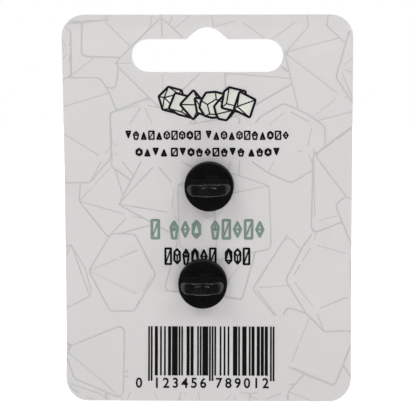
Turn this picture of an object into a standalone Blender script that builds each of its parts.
"""An enamel pin on its retail backing card, seen from the clutch side along +Y.

The card stands upright in the XZ plane with +Z up towards its hang slot. The pin's face looks along +Y and
the two rubber clutches stand out along -Y. The origin is at the top of the hang slot, halfway through the
card's thickness, where a display peg carries the card.
"""

import math

import bmesh
import bpy
from mathutils import Matrix, Vector

MM = 0.001

# Clearance left between pieces that touch, and between an enamel fill and its metal cell.
TOUCH_GAP = 0.2 * MM

# Backing card
CARD_WIDTH = 70.0 * MM
CARD_HEIGHT = 94.7 * MM
CARD_THICKNESS = 0.5 * MM
CARD_CORNER_RADIUS = 5.5 * MM
CARD_TOP = 3.1 * MM
CARD_CENTRE_Z = CARD_TOP - CARD_HEIGHT / 2

# Euro hang slot: a wide stadium with a hump in the middle of its upper edge
SLOT_WIDTH = 36.4 * MM
SLOT_HEIGHT = 8.0 * MM
SLOT_END_RADIUS = 3.95 * MM
HUMP_HEIGHT = 2.9 * MM
HUMP_BASE_WIDTH = 9.9 * MM
HUMP_TOP_WIDTH = 3.4 * MM
HUMP_FOOT_RADIUS = 0.8 * MM
HUMP_TOP_RADIUS = 4.4 * MM

# The pin hangs a little off square: its two posts lie on a line leaning towards +X.
PIN_CENTRE_X = -0.51 * MM
PIN_CENTRE_Z = CARD_CENTRE_Z - 6.53 * MM
PIN_LEAN = math.radians(3.9)
POST_SPACING = 24.15 * MM

# Posts: flange, shaft, retaining groove and point, turned about the Y axis
POST_RADIUS = 0.575 * MM
POST_FLANGE_RADIUS = 1.4 * MM
POST_FLANGE_THICKNESS = 0.35 * MM
POST_TIP_Y = -7.9 * MM
POST_TIP_RADIUS = 0.1 * MM
POST_POINT_LENGTH = 1.3 * MM
POST_GROOVE_DEPTH = 0.15 * MM
POST_GROOVE_LENGTH = 0.6 * MM
POST_GROOVE_FROM_TIP = 2.2 * MM
POST_HOLE_RADIUS = POST_RADIUS + TOUCH_GAP

# Clutches
CLUTCH_RADIUS = 6.0 * MM
CLUTCH_DISC_HEIGHT = 3.0 * MM
CLUTCH_EDGE_RADIUS = 0.5 * MM
CLUTCH_FOOT_CHAMFER = 0.3 * MM
CLUTCH_BORE_RADIUS = POST_RADIUS + 0.15 * MM
CLUTCH_BORE_MOUTH_RADIUS = 1.1 * MM
FIN_WIDTH = 10.9 * MM
FIN_THICKNESS = 3.1 * MM
FIN_HEIGHT = 5.6 * MM
FIN_END_HEIGHT = 2.0 * MM
FIN_EDGE_RADIUS = 0.7 * MM
FIN_ROOT = 0.5 * MM
UPPER_FIN_TURN = math.radians(-1.6)
LOWER_FIN_TURN = math.radians(-0.6)

# Pin plate: a twenty-sided die seen face on, so a hexagon with a triangle in it
PLATE_RADIUS = 22.0 * MM
PLATE_CORNER_RADIUS = 1.2 * MM
PLATE_THICKNESS = 2.0 * MM
CELL_DEPTH = 0.9 * MM
FACET_RADIUS = 21.1 * MM
PICTURE_RADIUS = FACET_RADIUS * (math.sqrt(5) - 1) / 2
RIB_WIDTH = 0.6 * MM
CELL_CORNER_RADIUS = 0.35 * MM
PLATE_SIDES = 6
PLATE_CORNERS = [90 + 60 * number for number in range(PLATE_SIDES)]
LIT_RIM_FACETS = ("rim_1", "rim_2")
ENAMEL_SINK = 0.05 * MM

# Picture in the middle triangle, in the pin's own x and z from its centre
MOON_X = 0.3 * MM
MOON_Z = 7.0 * MM
MOON_RADIUS = 1.35 * MM
RIDGE_FEET = [14.0, 20.0]
RIDGE_FALL = 0.52
RIDGE_LEFT_PEAK = (-3.3, 3.6)
RIDGE_MIDDLE = [(-1.4, 1.5), (0.2, 2.6), (1.3, 1.4)]
RIDGE_RIGHT_PEAK = (3.1, 3.0)
FAR_HILLS_Z = -0.9 * MM
FAR_HILLS_SWELL = 0.35 * MM
NEAR_HILLS_Z = -2.85 * MM
NEAR_HILLS_SWELL = 0.25 * MM
SHORE_Z = -4.65 * MM
SHORE_SWELL = 0.12 * MM
HILL_WAVELENGTH = 13.0 * MM
HILL_SPAN = 16.0 * MM
HILL_POINTS = 17

# Levels along Y
CARD_BACK = -CARD_THICKNESS / 2
CARD_FRONT = CARD_THICKNESS / 2
CLUTCH_FOOT = CARD_BACK - TOUCH_GAP
CLUTCH_FACE = CLUTCH_FOOT - CLUTCH_DISC_HEIGHT
FLANGE_BACK = CARD_FRONT + TOUCH_GAP
FLANGE_FRONT = FLANGE_BACK + POST_FLANGE_THICKNESS
PLATE_BACK = FLANGE_FRONT + TOUCH_GAP
PLATE_FRONT = PLATE_BACK + PLATE_THICKNESS
CELL_FLOOR = PLATE_FRONT - CELL_DEPTH

# How far a cutter runs past the faces it cuts
CUT_OVER = 1.0 * MM

# How much of a side the rounding of one of its corners may take
CORNER_SHARE = 0.4

# Fineness of round shapes
ARC_STEPS = 6
CLUTCH_STEPS = 40
POST_STEPS = 16
MOON_STEPS = 24
FIN_ARCH_STEPS = 14
FIN_EDGE_SEGMENTS = 3
FIN_EDGE_ANGLE = math.radians(50)
SMOOTH_ANGLE = math.radians(35)
SHARP_TURN = math.radians(25)
MERGE = 1e-7


def clear_scene():
    """Removes every object of the startup scene."""
    for item in list(bpy.data.objects):
        bpy.data.objects.remove(item)


def material(name, colour, roughness, metallic=0.0):
    """A Principled material."""
    made = bpy.data.materials.new(name)
    made.use_nodes = True
    shader = made.node_tree.nodes["Principled BSDF"]
    shader.inputs["Base Color"].default_value = (*colour, 1.0)
    shader.inputs["Roughness"].default_value = roughness
    shader.inputs["Metallic"].default_value = metallic
    made.diffuse_color = (*colour, 1.0)
    return made


def finished(name, bm, finish, parent=None):
    """Turns a bmesh into a smooth-shaded object of the scene."""
    bmesh.ops.remove_doubles(bm, verts=bm.verts, dist=MERGE)
    bmesh.ops.recalc_face_normals(bm, faces=bm.faces)
    if bm.calc_volume(signed=True) < 0:
        bmesh.ops.reverse_faces(bm, faces=bm.faces)
    mesh = bpy.data.meshes.new(name)
    bm.to_mesh(mesh)
    bm.free()
    mesh.materials.append(finish)
    mesh.shade_smooth()
    mesh.set_sharp_from_angle(angle=SMOOTH_ANGLE)
    item = bpy.data.objects.new(name, mesh)
    bpy.context.scene.collection.objects.link(item)
    item.parent = parent
    return item


def extruded(name, outline, low_y, high_y, finish, parent=None):
    """A plate: an outline in x and z, drawn out from low_y to high_y."""
    bm = bmesh.new()
    corners = [bm.verts.new((x, low_y, z)) for x, z in outline]
    face = bm.faces.new(corners)
    drawn = bmesh.ops.extrude_face_region(bm, geom=[face])["geom"]
    moved = [item for item in drawn if isinstance(item, bmesh.types.BMVert)]
    bmesh.ops.translate(bm, verts=moved, vec=(0, high_y - low_y, 0))
    return finished(name, bm, finish, parent)


def turned(name, profile, steps, finish, parent=None):
    """A lathe shape about the Y axis, from (radius, y) points that start and end on the axis."""
    bm = bmesh.new()
    points = [bm.verts.new((radius, y, 0)) for radius, y in profile]
    edges = [bm.edges.new(pair) for pair in zip(points, points[1:])]
    bmesh.ops.spin(
        bm, geom=points + edges, axis=(0, 1, 0), cent=(0, 0, 0), steps=steps, angle=math.tau, use_merge=True
    )
    return finished(name, bm, finish, parent)


def boolean(target, other, operation):
    """Joins or cuts target with a helper, which then leaves the render."""
    step = target.modifiers.new(other.name, "BOOLEAN")
    step.operation = operation
    step.solver = "EXACT"
    step.object = other
    other.hide_render = True
    other.display_type = "WIRE"


def rounded(corners, radii):
    """The closed outline through corners, each one rounded by its radius, as far as its sides allow."""
    outline = []
    count = len(corners)
    for index, radius in enumerate(radii):
        corner = Vector(corners[index])
        before = Vector(corners[index - 1]) - corner
        after = Vector(corners[(index + 1) % count]) - corner
        half = before.angle(after) / 2
        reach = min(radius / math.tan(half), before.length / 2, after.length / 2)
        radius = reach * math.tan(half)
        centre = corner + (before.normalized() + after.normalized()).normalized() * (radius / math.sin(half))
        start = corner + before.normalized() * reach - centre
        sweep = start.angle_signed(corner + after.normalized() * reach - centre)
        for step in range(ARC_STEPS + 1):
            spoke = start.copy()
            spoke.rotate(Matrix.Rotation(-sweep * step / ARC_STEPS, 2))
            outline.append(tuple(centre + spoke))
    return outline


def turn_at(outline, index):
    """How sharply an outline turns at one of its points."""
    corner = Vector(outline[index])
    before = corner - Vector(outline[index - 1])
    after = Vector(outline[(index + 1) % len(outline)]) - corner
    return before.angle(after)


def trimmed(outline, least):
    """An outline without the flowing points that crowd its sharp corners."""
    sharp = [Vector(point) for index, point in enumerate(outline) if turn_at(outline, index) > SHARP_TURN]
    kept = []
    for index, point in enumerate(outline):
        crowds = any((Vector(point) - corner).length < least for corner in sharp)
        if turn_at(outline, index) > SHARP_TURN or not crowds:
            kept.append(point)
    return kept


def eased(outline, radius):
    """An outline with only its sharp corners rounded; points on its flowing stretches stay."""
    result = []
    count = len(outline)
    for index, point in enumerate(outline):
        turn = turn_at(outline, index)
        if turn < SHARP_TURN:
            result.append(point)
            continue
        corner = Vector(point)
        before = corner - Vector(outline[index - 1])
        after = Vector(outline[(index + 1) % count]) - corner
        most = CORNER_SHARE * min(before.length, after.length)
        reach = min(radius * math.tan(turn / 2), most)
        first = corner - before.normalized() * reach
        last = corner + after.normalized() * reach
        for step in range(ARC_STEPS + 1):
            share = step / ARC_STEPS
            bend = first.lerp(corner, share).lerp(corner.lerp(last, share), share)
            result.append((bend.x, bend.y))
    return result


def mitred(before, corner, after, distance):
    """A corner moved to the left of the line from before to after, both of its sides by the same distance."""
    first = (Vector(corner) - Vector(before)).normalized()
    second = (Vector(after) - Vector(corner)).normalized()
    sideways = Vector((-first.y - second.y, first.x + second.x))
    moved = Vector(corner) + sideways * (distance / (1 + first.dot(second)))
    return (moved.x, moved.y)


def inset(outline, distance):
    """An anticlockwise outline moved inwards."""
    leading = outline[-1:] + outline[:-1]
    following = outline[1:] + outline[:1]
    return [mitred(*three, distance) for three in zip(leading, outline, following)]


def lifted(line, distance):
    """A line that runs from left to right, moved up; its first and last points are dropped."""
    return [mitred(*three, distance) for three in zip(line, line[1:], line[2:])]


def clipped(outline, frame):
    """The part of an outline inside an anticlockwise convex frame."""
    for index, corner in enumerate(frame):
        origin = Vector(frame[index - 1])
        along = Vector(corner) - origin
        kept = []
        for number, point in enumerate(outline):
            start = Vector(outline[number - 1])
            end = Vector(point)
            start_side = along.cross(start - origin)
            end_side = along.cross(end - origin)
            if (start_side > 0) != (end_side > 0):
                crossing = start.lerp(end, start_side / (start_side - end_side))
                kept.append((crossing.x, crossing.y))
            if end_side > 0:
                kept.append((end.x, end.y))
        outline = kept
    return outline


def polar(radius, degrees):
    """A point at a radius and an angle from +x."""
    return (radius * math.cos(math.radians(degrees)), radius * math.sin(math.radians(degrees)))


def circle(centre_x, centre_z, radius, steps):
    """A round outline."""
    angles = [math.tau * step / steps for step in range(steps)]
    return [(centre_x + radius * math.cos(angle), centre_z + radius * math.sin(angle)) for angle in angles]


def post_places():
    """World x and z of the upper and the lower post."""
    reach = POST_SPACING / 2
    lean_x, lean_z = math.sin(PIN_LEAN), math.cos(PIN_LEAN)
    return {
        "upper": (PIN_CENTRE_X + reach * lean_x, PIN_CENTRE_Z + reach * lean_z),
        "lower": (PIN_CENTRE_X - reach * lean_x, PIN_CENTRE_Z - reach * lean_z),
    }


def slot_outline():
    """The hang slot, anticlockwise from its lower right end."""
    half, foot, top = SLOT_WIDTH / 2, HUMP_BASE_WIDTH / 2, HUMP_TOP_WIDTH / 2
    low, high = -HUMP_HEIGHT - SLOT_HEIGHT, -HUMP_HEIGHT
    right = [(half, low), (half, high), (foot, high), (top, 0)]
    left = [(-x, z) for x, z in reversed(right)]
    radii = [SLOT_END_RADIUS, SLOT_END_RADIUS, HUMP_FOOT_RADIUS, HUMP_TOP_RADIUS]
    return rounded(right + left, radii + radii[::-1])


def build_card():
    """The die-cut card with its hang slot and its two post holes."""
    paper = material("card_paper", (0.67, 0.66, 0.66), 0.75)
    half = CARD_WIDTH / 2
    bottom = CARD_TOP - CARD_HEIGHT
    corners = [(-half, bottom), (half, bottom), (half, CARD_TOP), (-half, CARD_TOP)]
    outline = rounded(corners, [CARD_CORNER_RADIUS] * len(corners))
    card = extruded("backing_card", outline, CARD_BACK, CARD_FRONT, paper)
    low_y, high_y = CARD_BACK - CUT_OVER, CARD_FRONT + CUT_OVER
    boolean(card, extruded("slot_cutter", slot_outline(), low_y, high_y, paper), "DIFFERENCE")
    for side, (x, z) in post_places().items():
        hole = circle(x, z, POST_HOLE_RADIUS, POST_STEPS)
        boolean(card, extruded(f"post_hole_cutter_{side}", hole, low_y, high_y, paper), "DIFFERENCE")


def build_clutch(side, turn):
    """One moulded clutch on its post's axis: a disc, a grip fin across it and a blind bore."""
    rubber = material(f"clutch_{side}_rubber", (0.012, 0.012, 0.013), 0.45)
    x, z = post_places()[side]
    edge, foot = CLUTCH_EDGE_RADIUS, CLUTCH_FOOT_CHAMFER
    rim = [(CLUTCH_RADIUS - foot, CLUTCH_FOOT), (CLUTCH_RADIUS, CLUTCH_FOOT - foot)]
    for step in range(ARC_STEPS + 1):
        angle = math.pi / 2 * step / ARC_STEPS
        ring = CLUTCH_RADIUS - edge * (1 - math.cos(angle))
        rim.append((ring, CLUTCH_FACE + edge * (1 - math.sin(angle))))
    clutch = turned(f"clutch_{side}", [(0, CLUTCH_FOOT), *rim, (0, CLUTCH_FACE)], CLUTCH_STEPS, rubber)

    fin = fin_shape(f"fin_shape_{side}", rubber)
    bore_end = POST_TIP_Y - TOUCH_GAP
    mouth = CLUTCH_BORE_MOUTH_RADIUS - CLUTCH_BORE_RADIUS
    bore_profile = [
        (0, CLUTCH_FOOT + CUT_OVER),
        (CLUTCH_BORE_MOUTH_RADIUS, CLUTCH_FOOT + CUT_OVER),
        (CLUTCH_BORE_MOUTH_RADIUS, CLUTCH_FOOT),
        (CLUTCH_BORE_RADIUS, CLUTCH_FOOT - mouth),
        (CLUTCH_BORE_RADIUS, bore_end),
        (0, bore_end),
    ]
    bore = turned(f"bore_cutter_{side}", bore_profile, POST_STEPS, rubber)
    boolean(clutch, fin, "UNION")
    boolean(clutch, bore, "DIFFERENCE")
    for item in (clutch, fin, bore):
        item.location = (x, 0, z)
        item.rotation_euler = (0, turn, 0)


def fin_shape(name, rubber):
    """The half-moon grip fin, standing on the disc along x, with rounded edges."""
    half = FIN_WIDTH / 2
    shoulder = CLUTCH_FACE - FIN_END_HEIGHT
    rise = FIN_HEIGHT - FIN_END_HEIGHT
    bm = bmesh.new()
    arch = [(half, CLUTCH_FACE + FIN_ROOT)]
    for step in range(FIN_ARCH_STEPS + 1):
        angle = math.pi * step / FIN_ARCH_STEPS
        arch.append((half * math.cos(angle), shoulder - rise * math.sin(angle)))
    arch.append((-half, CLUTCH_FACE + FIN_ROOT))
    face = bm.faces.new([bm.verts.new((x, y, -FIN_THICKNESS / 2)) for x, y in arch])
    drawn = bmesh.ops.extrude_face_region(bm, geom=[face])["geom"]
    moved = [item for item in drawn if isinstance(item, bmesh.types.BMVert)]
    bmesh.ops.translate(bm, verts=moved, vec=(0, 0, FIN_THICKNESS))
    fin = finished(name, bm, rubber)
    soften = fin.modifiers.new("rounded_edges", "BEVEL")
    soften.width = FIN_EDGE_RADIUS
    soften.segments = FIN_EDGE_SEGMENTS
    soften.limit_method = "ANGLE"
    soften.angle_limit = FIN_EDGE_ANGLE
    return fin


def build_post(side, height, pin):
    """One post of the pin, at a height above the pin's centre."""
    steel = material(f"post_{side}_steel", (0.72, 0.72, 0.73), 0.25, 1.0)
    groove_end = POST_TIP_Y + POST_GROOVE_FROM_TIP
    groove_start = groove_end + POST_GROOVE_LENGTH
    waist = POST_RADIUS - POST_GROOVE_DEPTH
    profile = [
        (0, FLANGE_FRONT),
        (POST_FLANGE_RADIUS, FLANGE_FRONT),
        (POST_FLANGE_RADIUS, FLANGE_BACK),
        (POST_RADIUS, FLANGE_BACK),
        (POST_RADIUS, groove_start + POST_GROOVE_DEPTH),
        (waist, groove_start),
        (waist, groove_end),
        (POST_RADIUS, groove_end - POST_GROOVE_DEPTH),
        (POST_RADIUS, POST_TIP_Y + POST_POINT_LENGTH),
        (POST_TIP_RADIUS, POST_TIP_Y),
        (0, POST_TIP_Y),
    ]
    post = turned(f"post_{side}", profile, POST_STEPS, steel, pin)
    post.location = (0, 0, height)


def hills(base, swell):
    """A wavy skyline across the picture, from left to right."""
    points = []
    for step in range(HILL_POINTS):
        x = HILL_SPAN * (2 * step / (HILL_POINTS - 1) - 1)
        points.append((x, base + swell * math.sin(math.tau * x / HILL_WAVELENGTH)))
    return points


def ridge():
    """The mountains' skyline: two peaks with lower ones between, falling evenly to either side."""
    left_x, left_z = RIDGE_LEFT_PEAK
    right_x, right_z = RIDGE_RIGHT_PEAK
    left_foot = [(-x, left_z - RIDGE_FALL * (x + left_x)) for x in RIDGE_FEET[::-1]]
    right_foot = [(x, right_z - RIDGE_FALL * (x - right_x)) for x in RIDGE_FEET]
    points = [*left_foot, RIDGE_LEFT_PEAK, *RIDGE_MIDDLE, RIDGE_RIGHT_PEAK, *right_foot]
    return [(x * MM, z * MM) for x, z in points]


def picture_cells(margin):
    """The picture's cells from the sky down to the lake, each one a margin inside its borders."""
    frame = inset([polar(PICTURE_RADIUS, degrees) for degrees in PLATE_CORNERS[::2]], margin)
    reach = 2 * PICTURE_RADIUS
    level = [step * reach for step in (-2, -1, 1, 2)]
    above = [(x, reach) for x in level]
    below = [(x, -reach) for x in level]
    far_hills = hills(FAR_HILLS_Z, FAR_HILLS_SWELL)
    near_hills = hills(NEAR_HILLS_Z, NEAR_HILLS_SWELL)
    shore = hills(SHORE_Z, SHORE_SWELL)
    skylines = [above, ridge(), far_hills, near_hills, shore, below]
    names = ["sky", "mountains", "far_hills", "near_hills", "lake"]
    cells = {}
    for name, upper, lower in zip(names, skylines, skylines[1:]):
        strip = lifted(lower, margin) + lifted(upper, -margin)[::-1]
        outline = trimmed(clipped(strip, frame), CELL_CORNER_RADIUS)
        cells[name] = eased(outline, CELL_CORNER_RADIUS)
    return cells


def facet_cells(margin):
    """The die's three facets beside the picture and six at its rim, each one a margin inside its borders."""
    cells = {}
    tips = [polar(FACET_RADIUS, degrees) for degrees in PLATE_CORNERS]
    inner = [polar(PICTURE_RADIUS, degrees) for degrees in PLATE_CORNERS]
    for side, start in (("left", 0), ("bottom", 2), ("right", 4)):
        cells[f"facet_{side}"] = [inner[start], tips[start + 1], inner[(start + 2) % PLATE_SIDES]]
    for number in range(PLATE_SIDES):
        following = (number + 1) % PLATE_SIDES
        near = inner[number if number % 2 == 0 else following]
        cells[f"rim_{number + 1}"] = [tips[number], tips[following], near]
    return {name: eased(inset(cell, margin), CELL_CORNER_RADIUS) for name, cell in cells.items()}


def build_pin():
    """The struck plate with its cells, the enamel in them and the two posts."""
    pin = bpy.data.objects.new("pin_centre", None)
    bpy.context.scene.collection.objects.link(pin)
    pin.location = (PIN_CENTRE_X, 0, PIN_CENTRE_Z)
    pin.rotation_euler = (0, PIN_LEAN, 0)

    metal = material("plated_metal", (0.55, 0.54, 0.53), 0.22, 1.0)
    corners = [polar(PLATE_RADIUS, degrees) for degrees in PLATE_CORNERS]
    outline = rounded(corners, [PLATE_CORNER_RADIUS] * len(corners))
    plate = extruded("pin_base_plate", outline, PLATE_BACK, PLATE_FRONT, metal, pin)

    colours = {
        "sky": (0.30, 0.50, 0.55),
        "mountains": (0.16, 0.18, 0.28),
        "far_hills": (0.21, 0.37, 0.28),
        "near_hills": (0.07, 0.19, 0.13),
        "lake": (0.05, 0.22, 0.30),
        "facet_left": (0.17, 0.34, 0.30),
        "facet_bottom": (0.07, 0.19, 0.19),
        "facet_right": (0.11, 0.26, 0.24),
    }
    rim_dark, rim_light = (0.02, 0.09, 0.10), (0.05, 0.16, 0.16)
    enamel_back = CELL_FLOOR + TOUCH_GAP
    enamel_front = PLATE_FRONT - ENAMEL_SINK
    cut_front = PLATE_FRONT + CUT_OVER
    wells = {**picture_cells(RIB_WIDTH / 2), **facet_cells(RIB_WIDTH / 2)}
    fill_margin = RIB_WIDTH / 2 + TOUCH_GAP
    fills = {**picture_cells(fill_margin), **facet_cells(fill_margin)}
    for name, well in wells.items():
        colour = colours.get(name) or (rim_light if name in LIT_RIM_FACETS else rim_dark)
        boolean(plate, extruded(f"cell_cutter_{name}", well, CELL_FLOOR, cut_front, metal, pin), "DIFFERENCE")
        enamel = material(f"enamel_{name}_colour", colour, 0.12)
        poured = extruded(f"enamel_{name}", fills[name], enamel_back, enamel_front, enamel, pin)
        if name == "sky":
            clear = circle(MOON_X, MOON_Z, MOON_RADIUS + RIB_WIDTH + TOUCH_GAP, MOON_STEPS)
            cutter = extruded("moon_clearance_cutter", clear, CELL_FLOOR, cut_front, enamel, pin)
            boolean(poured, cutter, "DIFFERENCE")

    ring = circle(MOON_X, MOON_Z, MOON_RADIUS + RIB_WIDTH, MOON_STEPS)
    well = circle(MOON_X, MOON_Z, MOON_RADIUS, MOON_STEPS)
    boss = extruded("moon_ring_shape", ring, CELL_FLOOR - TOUCH_GAP, PLATE_FRONT, metal, pin)
    boolean(plate, boss, "UNION")
    boolean(plate, extruded("moon_well_cutter", well, CELL_FLOOR, cut_front, metal, pin), "DIFFERENCE")
    disc = circle(MOON_X, MOON_Z, MOON_RADIUS - TOUCH_GAP, MOON_STEPS)
    cream = material("enamel_moon_colour", (0.85, 0.80, 0.62), 0.12)
    extruded("enamel_moon", disc, enamel_back, enamel_front, cream, pin)

    build_post("upper", POST_SPACING / 2, pin)
    build_post("lower", -POST_SPACING / 2, pin)


clear_scene()
build_card()
build_pin()
build_clutch("upper", UPPER_FIN_TURN)
build_clutch("lower", LOWER_FIN_TURN)
